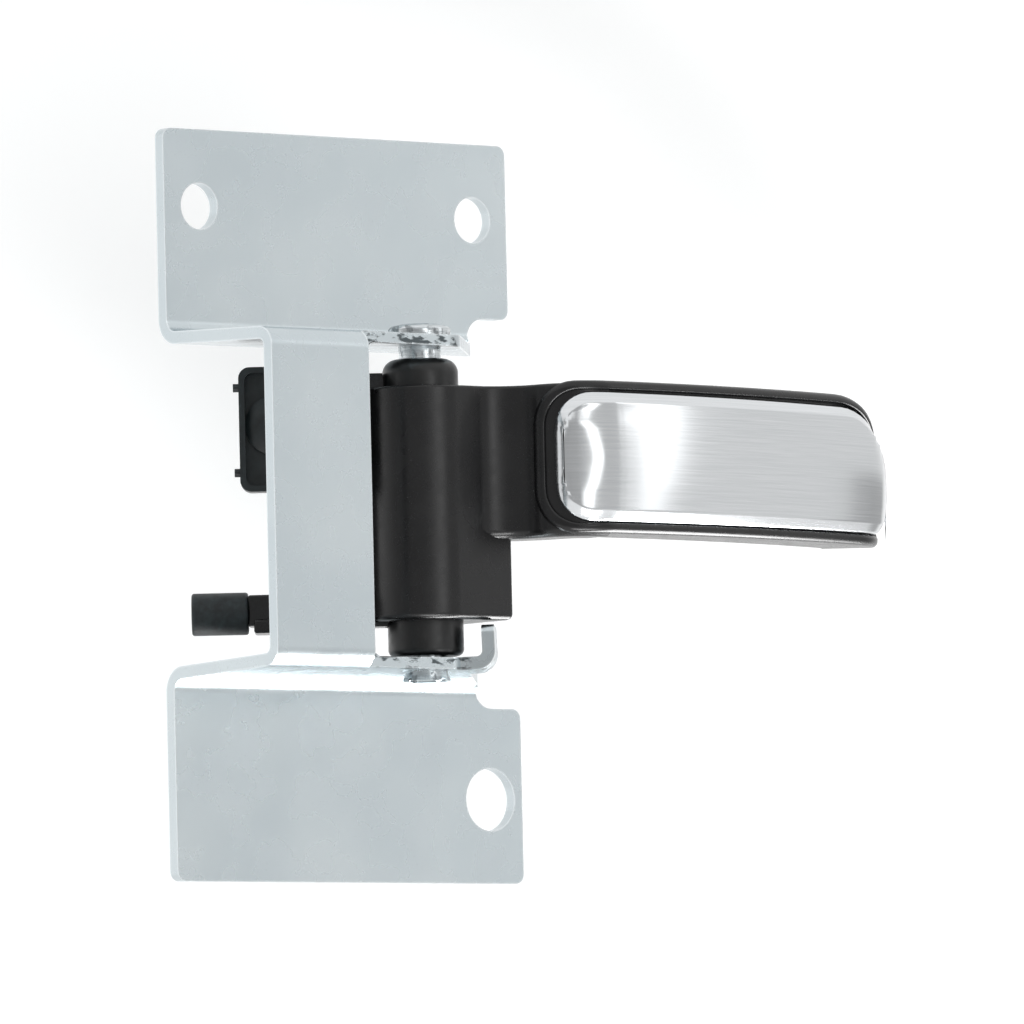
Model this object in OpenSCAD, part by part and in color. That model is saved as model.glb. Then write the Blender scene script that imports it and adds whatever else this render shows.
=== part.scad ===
// Interior door release: a plated sheet bracket and a pull lever that swings on its pin.
// The zero point lies midway between the two upper fixing holes, on the bracket's back face.

/* [Bracket plates] */
// Thickness of the bracket's sheet
sheet = 1.8; // [1.2:0.1:3]
// Distance between the two upper fixing holes
hole_spacing = 50; // [40:0.5:60]
// Diameter of the two upper fixing holes
upper_hole_d = 6.6; // [4:0.1:9]
// Width of the upper plate beside each of its holes
hole_side = 6.3; // [5:0.1:12]
// Height of the upper plate above its holes
upper_margin = 10.9; // [8:0.1:16]
// Width of the lower plate
lower_plate_w = 63.2; // [56:0.1:75]
// Depth of the lower plate's edge below the middle of the hat
lower_reach = 52.75; // [45:0.25:60]
// Diameter of the lower fixing hole
lower_hole_d = 9; // [5:0.1:12]
// Distance from the lower fixing hole to the lower plate's free side
lower_hole_side = 5.9; // [5.5:0.1:14]
// Height of the lower fixing hole above the lower edge
lower_hole_rise = 12; // [8:0.25:20]
// Radius of the plates' free corners
plate_corner_r = 1.4; // [0.5:0.1:3]

/* [Bracket hat] */
// Height of the upper holes above the middle of the hat
mid_drop = 42.5; // [36:0.5:50]
// Half the height of the hat at its front
hat_half = 23.65; // [20:0.05:28]
// Rise of each shelf from the strap to the plate
shelf_rise = 0.95; // [0:0.05:2]
// Distance from the back face to the front of the strap
hat_depth = 25.2; // [20:0.1:30]
// Width of the front strap
strap_w = 17.5; // [12:0.5:24]
// Outer radius of the strap's bends
strap_bend_r = 2.8; // [2.2:0.1:5]
// Inner radius of the bends between shelf and plate
plate_bend_r = 1.8; // [0.5:0.1:4]
// Sideways place of the shelves' free end
shelf_end_x = 23.5; // [18:0.5:28]
// Height of the upper plate's tongue above the middle of the hat
upper_tongue = 28.3; // [26:0.1:32]
// Depth of the lower plate's tongue below the middle of the hat
lower_tongue = 27.7; // [26:0.1:32]
// Radius where a tongue runs into the shelf's end
tongue_fillet_r = 3; // [1:0.1:4]

/* [Ears and stop tab] */
// Sideways place of the pin
pin_x = 1.4; // [-4:0.1:6]
// Distance of the pin from the bracket's back face
pin_depth = 17.9; // [15:0.1:20]
// Radius of the ears about the pin
ear_r = 5.8; // [5:0.1:8]
// Turn of the ears' flared side from straight ahead
flare_turn = 47.3; // [35:0.1:60]
// Distance from the pin to the inner face of the stop tab
tab_inner = 8.1; // [7:0.1:10]
// Outer radius of the stop tab's bend
tab_bend_r = 2.6; // [2:0.1:4]
// Start of the stop tab along the flared side
tab_start = 5; // [3:0.1:8]
// Length of the stop tab along the flared side
tab_length = 8; // [5:0.1:12]
// Height of the stop tab above the shelf's under face
tab_height = 6.3; // [4:0.1:8]
// Radius of the stop tab's free corners
tab_corner_r = 1.2; // [0.5:0.1:2]

/* [Pin] */
// Diameter of the pin
pin_d = 6; // [4:0.1:8]
// Diameter of the pin's head
head_d = 8.8; // [7:0.1:12]
// Height of the pin's head
head_h = 1.75; // [1:0.05:3]
// Radius of the edge of the pin's head
head_edge_r = 0.5; // [0.2:0.05:1]
// Diameter of the pin's flared end
flare_d = 6.9; // [6.2:0.1:8]
// Length of the flared end below the lower ear
flare_h = 1.2; // [0.6:0.1:2]
// Radial clearance of the pin in the ears
pin_gap = 0.04; // [0.01:0.01:0.1]

/* [Bushes] */
// Diameter of the bushes
bush_d = 10.7; // [8:0.1:14]
// Height of the upper bush above the hub
upper_bush_h = 4.15; // [2:0.05:5]
// Height of the lower bush below the hub
lower_bush_h = 4.9; // [2:0.05:5]
// Edge radius of the upper bush
upper_bush_edge = 2; // [0.5:0.1:2.5]
// Edge radius of the lower bush
lower_bush_edge = 1; // [0.5:0.1:2.5]
// Diameter of the bushes' spigots in the hub
spigot_d = 8.4; // [7:0.1:10]
// Length of the spigots
spigot_h = 7; // [3:0.5:12]
// Radial clearance of the bushes on the pin
run_gap = 0.05; // [0.01:0.01:0.1]
// Radial clearance of the spigots in the hub
spigot_gap = 0.02; // [0.01:0.01:0.05]

/* [Lever hub] */
// Top of the hub above the middle of the hat
hub_top = 16.3; // [12:0.1:18]
// Bottom of the hub below the middle of the hat
hub_bottom = 16.7; // [12:0.1:18]
// Radius of the hub's round side
hub_r = 8; // [6.5:0.1:9]
// Width of the hub's block beside the pin
block_w = 9.8; // [8:0.1:12]
// Radius of the block's upright edges
block_edge_r = 0.9; // [0.3:0.1:2]
// Gap between the bushes and the rear arm beside them
bush_room = 0.4; // [0.2:0.1:1]
// Radius of the hub's bore between the spigots
bore_r = 3.4; // [3.2:0.1:4]
// Distance of the stop boss from the pin
boss_reach = 8.8; // [8:0.1:10]
// Turn of the stop boss about the pin
boss_turn = 40.5; // [30:0.5:60]
// Diameter of the stop boss
boss_d = 3.2; // [2:0.1:4]
// Height of the stop boss below the hub
boss_h = 3.4; // [2:0.1:4]

/* [Lever arm and paddle] */
// Depth of the lower edge of the arm below the middle of the hat
arm_bottom = 5.36; // [3:0.1:8]
// Sideways place where the arm leaves the hub
arm_start_x = 5.4; // [2:0.1:8]
// Radius of the hollow between hub and arm
throat_r = 6; // [4:0.1:9]
// Turn of the hollow towards the hand
throat_turn = 81.5; // [60:0.5:88]
// Radius of the paddle's shoulder
shoulder_r = 8.5; // [8.3:0.1:12]
// Radius of the paddle's face
face_r = 185; // [120:5:300]
// Turn of the paddle's face along its length
face_turn = 16.6; // [10:0.1:20]
// Radius of the paddle's tip
tip_r = 14.8; // [10:0.1:20]
// Turn of the paddle's tip
tip_turn = 48.8; // [35:0.1:60]
// Thickness of the arm
arm_t = 5.5; // [4:0.1:7]
// Depth of the paddle from front to back
paddle_t = 8; // [6:0.1:8.2]
// Thickness of the paddle's web
web_t = 2.6; // [1.5:0.1:4]
// Thickness of the paddle's back flanges
flange_t = 2.2; // [1.5:0.1:3]
// Radius of the tip's upper corner
tip_corner_r = 17.5; // [6:0.1:19]
// Radius of the tip's lower corner
tip_low_corner_r = 3.8; // [2:0.1:8]

/* [Rim and insert] */
// Width of the raised rim above the insert
rim_top_w = 1.35; // [1:0.05:2.5]
// Width of the raised rim below the insert
rim_bottom_w = 1.5; // [1:0.05:2.5]
// Width of the raised rim at the tip
rim_tip_w = 1.5; // [1:0.05:2.5]
// Depth of the recess inside the rim
recess_depth = 1.2; // [0.6:0.1:2]
// Heading on the shoulder where the recess starts
recess_start = 69; // [55:1:78]
// Radius of the recess's corners on the shoulder
recess_corner_r = 5.2; // [1:0.1:6]
// Top of the insert above the middle of the hat
insert_top = 14.3; // [12:0.1:15]
// Bottom of the insert below the middle of the hat
insert_bottom = 2.8; // [1:0.1:3.5]
// Heading on the shoulder where the insert starts
insert_start = 53; // [40:1:60]
// Space between the insert's end and the recess's end at the tip
insert_space = 1.1; // [0.4:0.1:3]
// Clearance between the insert's back and the floor of the recess
insert_seat = 0.04; // [0.02:0.01:0.1]
// Height of the insert's face above the rim
insert_rise = 1.7; // [0.5:0.1:2.5]
// Radius of the insert's corners on the shoulder
insert_corner_r = 4.8; // [1:0.1:6]
// Radius of the insert's lower corner at the tip
insert_tip_low_r = 5.2; // [2:0.1:6]
// Width of the insert's bevelled border
insert_bevel = 1.5; // [0.5:0.1:2.5]
// Diameter of the insert's two pegs
peg_d = 3; // [2:0.1:4]
// Depth of the pegs behind the paddle's face
peg_depth = 5.5; // [4:0.1:6]
// Radial clearance of the pegs in the paddle
peg_gap = 0.02; // [0.01:0.01:0.05]
// Width of the ribs across the paddle's back
rib_w = 1.6; // [1:0.1:3]

/* [Rear arm, clip and stop sleeve] */
// Direction of the rear arm about the pin
rear_turn = 140; // [125:1:150]
// Thickness of the rear arm
rear_t = 4.4; // [3:0.1:6]
// Length of the rear arm's plate from the pin
rear_reach = 16.5; // [12:0.5:18]
// Top of the rear arm above the middle of the hat
rear_top = 18.5; // [16:0.1:20]
// Bottom of the rear arm below the middle of the hat
rear_bottom = 17.3; // [15:0.1:18]
// Distance from the pin to the clip's stud
clip_reach = 20.6; // [18:0.1:24]
// Height of the clip's stud above the middle of the hat
clip_rise = 11.3; // [8:0.1:14]
// Radius of the rear arm's free corners
rear_corner_r = 2; // [0.5:0.1:3]
// Height of the clip's frame above its stud
clip_above = 8.2; // [6:0.1:10]
// Length of the clip's frame beyond its stud
clip_beyond = 5; // [4:0.1:7]
// Height of the clip's frame
clip_h = 17.6; // [14:0.1:20]
// Width of the clip's frame
clip_w = 11.8; // [9:0.1:14]
// Depth of the clip's frame
clip_t = 3.4; // [2:0.1:5]
// Width of the clip frame's bars
clip_bar = 0.85; // [0.6:0.05:2]
// Thickness of the clip's web
clip_web = 1; // [0.6:0.1:2]
// Corner radius of the clip's frame
clip_corner_r = 1.6; // [0.9:0.1:3]
// Diameter of the clip's two nubs
nub_d = 1.2; // [0.8:0.1:2]
// Length of the clip's nubs
nub_reach = 0.8; // [0.4:0.1:1.5]
// Distance of the nubs from the clip frame's ends
nub_inset = 2.8; // [1.5:0.1:5]
// Diameter of the clip's domed button
button_d = 8.4; // [6:0.1:9]
// Height of the domed button's straight side
button_h = 2.2; // [1:0.1:3]
// Diameter of the clip's stud in the arm
stud_d = 6.6; // [5:0.1:7.5]
// Height of the clip's snap ring behind the arm
snap_h = 1.6; // [1:0.1:2.5]
// Overhang of the snap ring beyond the stud
snap_over = 0.7; // [0.3:0.1:1]
// Diameter of the latch rod that the clip takes
rod_d = 4; // [3:0.1:4.5]
// Radial clearance of the rod in the clip
rod_gap = 0.1; // [0.05:0.05:0.3]
// Radial clearance of the stud in the arm
stud_gap = 0.05; // [0.02:0.01:0.1]
// Height of the stop sleeve's axis below the middle of the hat
sleeve_drop = 14.95; // [12:0.05:16]
// Height of the stem that carries the stop sleeve
stem_h = 4.4; // [3:0.1:6]
// Height of the ledge under the stem
stem_ledge = 1.05; // [0.5:0.05:2]
// Thickness of the stem
stem_t = 5; // [3:0.1:6]
// Height of the stem's middle above the sleeve's axis
stem_lift = 0.3; // [0:0.05:0.8]
// Overhang of the ledge on each side of the stem
ledge_over = 0.6; // [0.2:0.1:1.2]
// Edge radius of the stem and its ledge
stem_edge = 0.4; // [0.2:0.05:0.6]
// Diameter of the stop sleeve
sleeve_d = 6; // [5:0.1:8]
// Distance from the pin to the stop sleeve's inner end
sleeve_start = 24.95; // [22:0.05:28]
// Length of the stop sleeve
sleeve_length = 8; // [5:0.1:12]
// Thickness of the stop sleeve's closed end
sleeve_end = 1.5; // [0.8:0.1:3]
// Edge radius of the stop sleeve
sleeve_edge = 0.4; // [0.2:0.1:1]
// Diameter of the peg inside the stop sleeve
sleeve_peg_d = 3.2; // [2:0.1:4]
// Radial clearance of the stop sleeve on its peg
sleeve_gap = 0.02; // [0.01:0.01:0.05]

/* [Hidden] */
$fn = 48;
bend_steps = 8;
over = 1;
far = 120;

upper_plate_w = hole_spacing + 2 * hole_side;
left_x = -upper_plate_w / 2;
lower_hole_x = left_x + lower_plate_w - lower_hole_side;
strap_right = left_x + strap_w;
draft = atan(shelf_rise / hat_depth);
pin_y = -pin_depth;
pin_r = pin_d / 2;
shelf_at_pin = hat_half + (hat_depth - pin_depth) * tan(draft);
head_seat = shelf_at_pin - head_d / 2 * tan(draft);
side_turn = 90 - flare_turn;
hub_h = hub_top + hub_bottom;
arm_h = hub_top + arm_bottom;
lever_start = [arm_start_x, pin_y - hub_r];
spigot_bore_r = spigot_d / 2 + spigot_gap;
floor_back = recess_depth + web_t;
insert_mid = (insert_top - insert_bottom) / 2;
rib_turns = [3, 8.3, 13.6];
peg_turns = [4.5, 12.5];
layer_shares = [0, 0.5, 1];
first_rise = 0.4 * insert_rise;
stem_root = 5;
back_margin = 3;
clear_back = 0.5;
degrees_per_mm = 180 / PI;
recess_wrap = tip_turn - rim_tip_w / tip_r * degrees_per_mm;
insert_wrap = recess_wrap - insert_space / tip_r * degrees_per_mm;
recess_tip_r = tip_corner_r - rim_tip_w;
insert_tip_r = recess_tip_r - insert_space;
tip_facing = face_turn + tip_turn / 2;
shoulder_facing = 123;
paddle_heights = [-arm_bottom, hub_top];
recess_heights = [rim_bottom_w - arm_bottom, hub_top - rim_top_w];
insert_heights = [-insert_bottom, insert_top];
rear_y = rear_t / 2;
clip_top = clip_rise + clip_above;
clip_left = clip_reach + clip_beyond;
clip_low = clip_top - clip_h;
snap_back = rear_y + snap_h;
stem_mid = stem_lift - sleeve_drop;
stem_low = stem_mid - stem_h / 2;
stem_start = rear_reach - stem_root;
hollow_d = flare_d - 1.6;

// Plan of the lever's front face: each move is [radius, turn], to the left when the turn is above zero.
throat_at = lever_start;
shoulder_centre = throat_at + [throat_r * sin(throat_turn), -throat_r * (1 - cos(throat_turn))]
    + shoulder_r * [sin(throat_turn), cos(throat_turn)];
face_at = shoulder_centre + [0, -shoulder_r];
tip_centre = face_at + [0, face_r] + (face_r - tip_r) * [sin(face_turn), -cos(face_turn)];

// A rectangle with round corners between two corner points
module round_box(low, high, r) {
    inner_low = low + [r, r];
    inner_high = high - [r, r];
    size = high - low;
    translate([low.x, inner_low.y])
        square([size.x, size.y - 2 * r]);
    translate([inner_low.x, low.y])
        square([size.x - 2 * r, size.y]);
    for (x = [inner_low.x, inner_high.x], y = [inner_low.y, inner_high.y])
        translate([x, y])
            circle(r);
}

// What a round corner of radius r takes away, for a corner at the zero point facing +X and +Y
module corner_waste(r) {
    difference() {
        translate([-r, -r])
            square(r + over);
        translate([-r, -r])
            circle(r);
    }
}

function heading(a, b) = atan2(b.y - a.y, b.x - a.x);
function ahead(angle) = [cos(angle), sin(angle)];
function aside(angle) = [-sin(angle), cos(angle)];

function turn_at(line, i) = heading(line[i], line[i + 1]) - heading(line[i - 1], line[i]);

// Points along one side of a bent line; the side lies to the right of the line by the given depth
function bend_points(line, radii, i, depth) =
    let (turn = turn_at(line, i), start = heading(line[i - 1], line[i]), side = sign(turn))
    let (middle = line[i] - radii[i] * tan(abs(turn) / 2) * ahead(start) + side * radii[i] * aside(start))
    let (reach = side * radii[i] + depth)
    [for (k = [0:bend_steps]) middle - reach * aside(start + turn * k / bend_steps)];

function side_points(line, radii, depth) =
    let (last = len(line) - 1)
    concat(
        [line[0] - depth * aside(heading(line[0], line[1]))],
        [for (i = [1:last - 1]) each bend_points(line, radii, i, depth)],
        [line[last] - depth * aside(heading(line[last - 1], line[last]))]);

function reversed(points) = [for (i = [len(points) - 1:-1:0]) points[i]];

// A flat strip of sheet, bent at the inner points of a line; its material lies to the right of the line
module bent_sheet(line, radii) {
    polygon(concat(side_points(line, radii, 0), reversed(side_points(line, radii, sheet))));
}

module sideways(from, to) {
    translate([from, 0, 0])
        rotate([90, 0, 90])
            linear_extrude(to - from)
                children();
}

module hat_sheet() {
    back = hat_half + shelf_rise * (hat_depth - sheet) / hat_depth;
    bent_sheet(
        [[-sheet, -lower_reach], [-sheet, -back], [-hat_depth, -hat_half],
            [-hat_depth, hat_half], [-sheet, back], [-sheet, mid_drop + upper_margin]],
        [0, plate_bend_r, strap_bend_r, strap_bend_r, plate_bend_r, 0]);
}

// One plate with its shelf, running straight out past the ears
module shelf_sheet(plate_end) {
    back = hat_half + shelf_rise * (hat_depth - sheet) / hat_depth;
    front = hat_half - shelf_rise * over / hat_depth;
    bent_sheet([[-hat_depth - over, front], [-sheet, back], [-sheet, plate_end]], [0, plate_bend_r, 0]);
}

module ear_plan() {
    side = [sin(flare_turn), -cos(flare_turn)];
    strap_back = -plate_bend_r - 2 * sheet;
    foot = [pin_x, pin_y] + ear_r * side;
    run = (shelf_end_x - foot.x) / cos(flare_turn);
    polygon([
        [left_x, over], [left_x, strap_back], [strap_right - over, pin_y - ear_r],
        [pin_x, pin_y - ear_r], [pin_x, pin_y], foot,
        [shelf_end_x, foot.y + run * sin(flare_turn)], [shelf_end_x, over]]);
    translate([pin_x, pin_y])
        circle(ear_r);
    translate([left_x, -sheet])
        square([upper_plate_w + over, sheet + over]);
}

// Front view of what is cut away beside the shelf's end
module tongue_waste(tongue) {
    corner = [shelf_end_x + tongue_fillet_r, tongue - tongue_fillet_r];
    translate([corner.x, 0])
        square([far, tongue]);
    translate([shelf_end_x, 0])
        square([far, corner.y]);
    translate(corner)
        circle(tongue_fillet_r);
}

module front_prism() {
    rotate([90, 0, 0])
        linear_extrude(far, center = true)
            children();
}

module ears(plate_w, plate_end, tongue) {
    difference() {
        intersection() {
            sideways(left_x, left_x + plate_w)
                shelf_sheet(plate_end);
            translate([0, 0, -over])
                linear_extrude(far)
                    ear_plan();
        }
        front_prism() {
            tongue_waste(tongue);
            translate([left_x + plate_w, tongue])
                mirror([0, 1])
                    corner_waste(plate_corner_r);
            translate([left_x + plate_w, plate_end])
                corner_waste(plate_corner_r);
        }
    }
}

module stop_tab() {
    outer = tab_inner + sheet;
    translate([pin_x, pin_y, -shelf_at_pin])
        rotate([-draft, 0, 0])
            rotate([0, 0, -side_turn])
                difference() {
                    translate([0, tab_start + tab_length, 0])
                        rotate([90, 0, 0])
                            linear_extrude(tab_length)
                                mirror([0, 1])
                                    bent_sheet([[ear_r - over, 0], [outer, 0], [outer, -tab_height]],
                                        [0, tab_bend_r, 0]);
                    translate([0, tab_start + tab_length, tab_height])
                        rotate([90, 0, 90])
                            linear_extrude(far)
                                corner_waste(tab_corner_r);
                }
}

module bracket() {
    color("lightsteelblue")
        translate([0, 0, -mid_drop])
            difference() {
                union() {
                    sideways(left_x, strap_right)
                        hat_sheet();
                    ears(upper_plate_w, mid_drop + upper_margin, upper_tongue);
                    mirror([0, 0, 1])
                        ears(lower_plate_w, lower_reach, lower_tongue);
                    stop_tab();
                }
                front_prism() {
                    for (x = [-hole_spacing / 2, hole_spacing / 2])
                        translate([x, mid_drop])
                            circle(upper_hole_d / 2);
                    translate([lower_hole_x, lower_hole_rise - lower_reach])
                        circle(lower_hole_d / 2);
                    translate([left_x, mid_drop + upper_margin])
                        mirror([1, 0])
                            corner_waste(plate_corner_r);
                    translate([left_x, -lower_reach])
                        rotate(180)
                            corner_waste(plate_corner_r);
                }
                translate([pin_x, pin_y, -far / 2])
                    cylinder(far, r = pin_r + pin_gap);
                translate([pin_x, pin_y, head_seat])
                    cylinder(head_h, d = head_d + 2 * pin_gap);
            }
}

module at_pin(z) {
    translate([pin_x, pin_y, z - mid_drop])
        children();
}

module pivot_pin() {
    length = head_seat + shelf_at_pin;
    color("silver")
        at_pin(0)
            difference() {
                union() {
                    translate([0, 0, -shelf_at_pin])
                        cylinder(length, r = pin_r);
                    translate([0, 0, -shelf_at_pin - flare_h])
                        cylinder(flare_h, flare_d / 2, pin_r);
                    translate([0, 0, head_seat])
                        rotate_extrude()
                            intersection() {
                                round_box([-head_d / 2, -head_h], [head_d / 2, head_h], head_edge_r);
                                square([head_d, head_h]);
                            }
                }
                translate([0, 0, -shelf_at_pin - flare_h])
                    cylinder(flare_h, hollow_d / 2, 0);
            }
}

module bush(height, edge_r) {
    difference() {
        rotate_extrude() {
            intersection() {
                round_box([-bush_d / 2, -height], [bush_d / 2, height], edge_r);
                square([bush_d, height]);
            }
            translate([0, -spigot_h])
                square([spigot_d / 2, spigot_h]);
        }
        translate([0, 0, -spigot_h - over])
            cylinder(spigot_h + height + 2 * over, r = pin_r + run_gap);
    }
}

module upper_bush() {
    color("dimgray")
        at_pin(hub_top)
            bush(upper_bush_h, upper_bush_edge);
}

module lower_bush() {
    color("dimgray")
        at_pin(-hub_bottom)
            mirror([0, 0, 1])
                bush(lower_bush_h, lower_bush_edge);
}

function throat_points(depth) =
    let (middle = throat_at - [0, throat_r])
    [for (k = [0:bend_steps]) middle + (throat_r + depth) * aside(-throat_turn * k / bend_steps)];

function left_points(middle, radius, from, turn, depth) =
    [for (k = [0:bend_steps]) middle - (radius - depth) * aside(from + turn * k / bend_steps)];

function shoulder_points(start, depth) = left_points(shoulder_centre, shoulder_r, -start, start, depth);

// Plan points at a depth behind the paddle's face, from a turn on the shoulder to a turn round the tip
function paddle_points(start, wrap, depth) = concat(
    shoulder_points(start, depth),
    left_points(face_at + [0, face_r], face_r, 0, face_turn, depth),
    left_points(tip_centre, tip_r, face_turn, wrap, depth));

// A slab that follows the paddle between two depths and two heights
module paddle_slab(start, wrap, depths, heights) {
    translate([0, 0, heights[0]])
        linear_extrude(heights[1] - heights[0])
            polygon(concat(
                paddle_points(start, wrap, depths[0]),
                reversed(paddle_points(start, wrap, depths[1]))));
}

// What is cut away to round the corners of a slab that ends at a plan point and faces a direction
module corner_cuts(end, facing, heights, radii) {
    translate([end.x, end.y, 0])
        rotate([90, 0, facing])
            linear_extrude(far, center = true) {
                translate([0, heights[0]])
                    mirror([0, 1])
                        corner_waste(radii[0]);
                translate([0, heights[1]])
                    corner_waste(radii[1]);
            }
}

module tip_cuts(wrap, depth, heights, radii) {
    end = tip_centre + (tip_r - depth) * [sin(face_turn + wrap), -cos(face_turn + wrap)];
    corner_cuts(end, tip_facing, heights, radii);
}

module shoulder_cuts(start, depth, heights, radius) {
    end = shoulder_centre - (shoulder_r - depth) * [sin(start), cos(start)];
    corner_cuts(end, shoulder_facing, heights, [radius, radius]);
}

module rear_frame() {
    translate([pin_x, pin_y, 0])
        rotate(rear_turn)
            children();
}

// Extrudes a side view (reach, height) of the rear arm between two depths towards the hand
module rear_slab(from, to) {
    rear_frame()
        translate([0, to, 0])
            rotate([90, 0, 0])
                linear_extrude(to - from)
                    children();
}

module rear_arm() {
    rear_slab(-rear_y, rear_y) {
        round_box([0, -rear_bottom], [rear_reach, rear_top], rear_corner_r);
        round_box([0, clip_low + clip_bar], [clip_left - clip_bar, rear_top], rear_corner_r);
    }
    rear_slab(-stem_t / 2, stem_t / 2)
        round_box([stem_start, stem_low], [sleeve_start, stem_mid + stem_h / 2], stem_edge);
    rear_slab(-stem_t / 2 - ledge_over, stem_t / 2 + ledge_over)
        round_box([stem_start, stem_low - stem_ledge],
            [sleeve_start - over, stem_low + stem_edge], stem_edge);
    rear_frame()
        translate([sleeve_start - over, 0, -sleeve_drop])
            rotate([0, 90, 0])
                cylinder(sleeve_length - sleeve_end + over, d = sleeve_peg_d);
}

module hub() {
    translate([pin_x, pin_y, -hub_bottom])
        cylinder(hub_h, r = hub_r);
    translate([pin_x, pin_y, -hub_bottom])
        linear_extrude(hub_h)
            round_box([-block_w / 2, -hub_r], [block_w, hub_r], block_edge_r);
    translate([pin_x, pin_y, 0])
        rotate(boss_turn)
            translate([boss_reach, 0, -hub_bottom - boss_h])
                cylinder(boss_h + over, d = boss_d);
}

module arm() {
    translate([0, 0, -arm_bottom])
        linear_extrude(arm_h)
            polygon(concat(
                [[pin_x, pin_y - hub_r]], throat_points(0), shoulder_points(throat_turn, 0),
                reversed(shoulder_points(throat_turn, arm_t)), reversed(throat_points(arm_t)),
                [[pin_x, pin_y - hub_r + arm_t]]));
}

// The hollow behind the paddle, inside its back flanges
module back_hollow() {
    heights = [flange_t - arm_bottom, hub_top - flange_t];
    back_start = recess_start + back_margin;
    back_wrap = recess_wrap - 2 * back_margin;
    difference() {
        paddle_slab(back_start, back_wrap, [floor_back, paddle_t + over], heights);
        tip_cuts(back_wrap, floor_back, heights, [flange_t, tip_corner_r - 2 * flange_t]);
    }
}

module paddle() {
    difference() {
        paddle_slab(recess_start, tip_turn, [0, paddle_t], paddle_heights);
        back_hollow();
        tip_cuts(tip_turn, 0, paddle_heights, [tip_low_corner_r, tip_corner_r]);
    }
}

// Ribs across the back of the paddle, at places along its face
module paddle_ribs() {
    rib_depth = paddle_t - floor_back - clear_back;
    for (angle = rib_turns)
        translate(face_at + [0, face_r])
            rotate(angle)
                translate([-rib_w / 2, floor_back - over - face_r, over - arm_bottom])
                    cube([rib_w, rib_depth + over, arm_h - 2 * over]);
}

module recess() {
    corners = [tip_low_corner_r - rim_tip_w, recess_tip_r];
    difference() {
        paddle_slab(recess_start, recess_wrap, [-over, recess_depth], recess_heights);
        tip_cuts(recess_wrap, 0, recess_heights, corners);
        shoulder_cuts(recess_start, 0, recess_heights, recess_corner_r);
    }
}

module peg_places() {
    for (angle = peg_turns)
        translate(face_at + [0, face_r])
            rotate(angle)
                translate([0, -face_r, insert_mid])
                    rotate([-90, 0, 0])
                        children();
}

module lever() {
    color([0.13, 0.13, 0.14])
        translate([0, 0, -mid_drop])
            difference() {
                union() {
                    hub();
                    arm();
                    paddle();
                    paddle_ribs();
                    rear_arm();
                }
                recess();
                translate([pin_x, pin_y, -far / 2])
                    cylinder(far, r = bore_r);
                for (end = [hub_top - spigot_h - over, -hub_bottom - over])
                    translate([pin_x, pin_y, end])
                        cylinder(spigot_h + 2 * over, r = spigot_bore_r);
                for (end = [hub_top, -hub_bottom - far])
                    translate([pin_x, pin_y, end])
                        cylinder(far, d = bush_d + 2 * bush_room);
                peg_places()
                    cylinder(paddle_t, r = peg_d / 2 + peg_gap);
                rear_slab(-far, far)
                    translate([clip_reach, clip_rise])
                        circle(stud_d / 2 + stud_gap);
            }
}

// One layer of the insert, drawn in from its outline by the given border; the outer one reaches its back
module insert_layer(border, rise) {
    back = border > 0 ? 0 : recess_depth - insert_seat;
    start = insert_start - border / shoulder_r * degrees_per_mm;
    wrap = insert_wrap - border / tip_r * degrees_per_mm;
    heights = insert_heights + [border, -border];
    tip_radii = [insert_tip_low_r, insert_tip_r] - [border, border];
    difference() {
        paddle_slab(start, wrap, [-rise, back], heights);
        tip_cuts(wrap, -rise, heights, tip_radii);
        shoulder_cuts(start, -rise, heights, insert_corner_r - border);
    }
}

module insert() {
    color([0.85, 0.86, 0.88])
        translate([0, 0, -mid_drop])
            union() {
                for (share = layer_shares)
                    insert_layer(share * insert_bevel, first_rise + share * (insert_rise - first_rise));
                peg_places()
                    cylinder(peg_depth, d = peg_d);
            }
}

module clip_outline(inset) {
    round_box([clip_left - clip_w + inset, clip_low + inset], [clip_left - inset, clip_top - inset],
        clip_corner_r - inset / 2);
}

module domed_button() {
    cylinder(button_h, d = button_d);
    translate([0, 0, button_h])
        rotate_extrude()
            intersection() {
                translate([0, -button_d])
                    circle(norm([button_d, button_d / 2]));
                square([button_d / 2, button_d]);
            }
}

module clip_stud() {
    translate([0, 0, -snap_back])
        cylinder(snap_h + rear_t, d = stud_d);
    translate([0, 0, -snap_back])
        cylinder(snap_h - stud_gap, stud_d / 2, stud_d / 2 + snap_over);
}

module rod_clip() {
    color([0.16, 0.2, 0.2])
        translate([0, 0, -mid_drop])
            difference() {
                union() {
                    rear_slab(rear_y, rear_y + clip_t)
                        difference() {
                            clip_outline(0);
                            clip_outline(clip_bar);
                        }
                    rear_slab(rear_y, rear_y + clip_web)
                        clip_outline(0);
                    rear_frame() {
                        translate([clip_reach, 0, clip_rise])
                            rotate([-90, 0, 0]) {
                                clip_stud();
                                translate([0, 0, rear_y])
                                    domed_button();
                            }
                        for (z = [clip_low + nub_inset, clip_top - nub_inset])
                            translate([clip_left - clip_bar / 2, rear_y + clip_t / 2, z])
                                rotate([0, 90, 0])
                                    cylinder(clip_bar / 2 + nub_reach, d = nub_d);
                    }
                }
                rear_frame()
                    translate([clip_reach, -snap_back - over, clip_rise])
                        rotate([-90, 0, 0])
                            cylinder(snap_h + rear_t + over, r = rod_d / 2 + rod_gap);
            }
}

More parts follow.
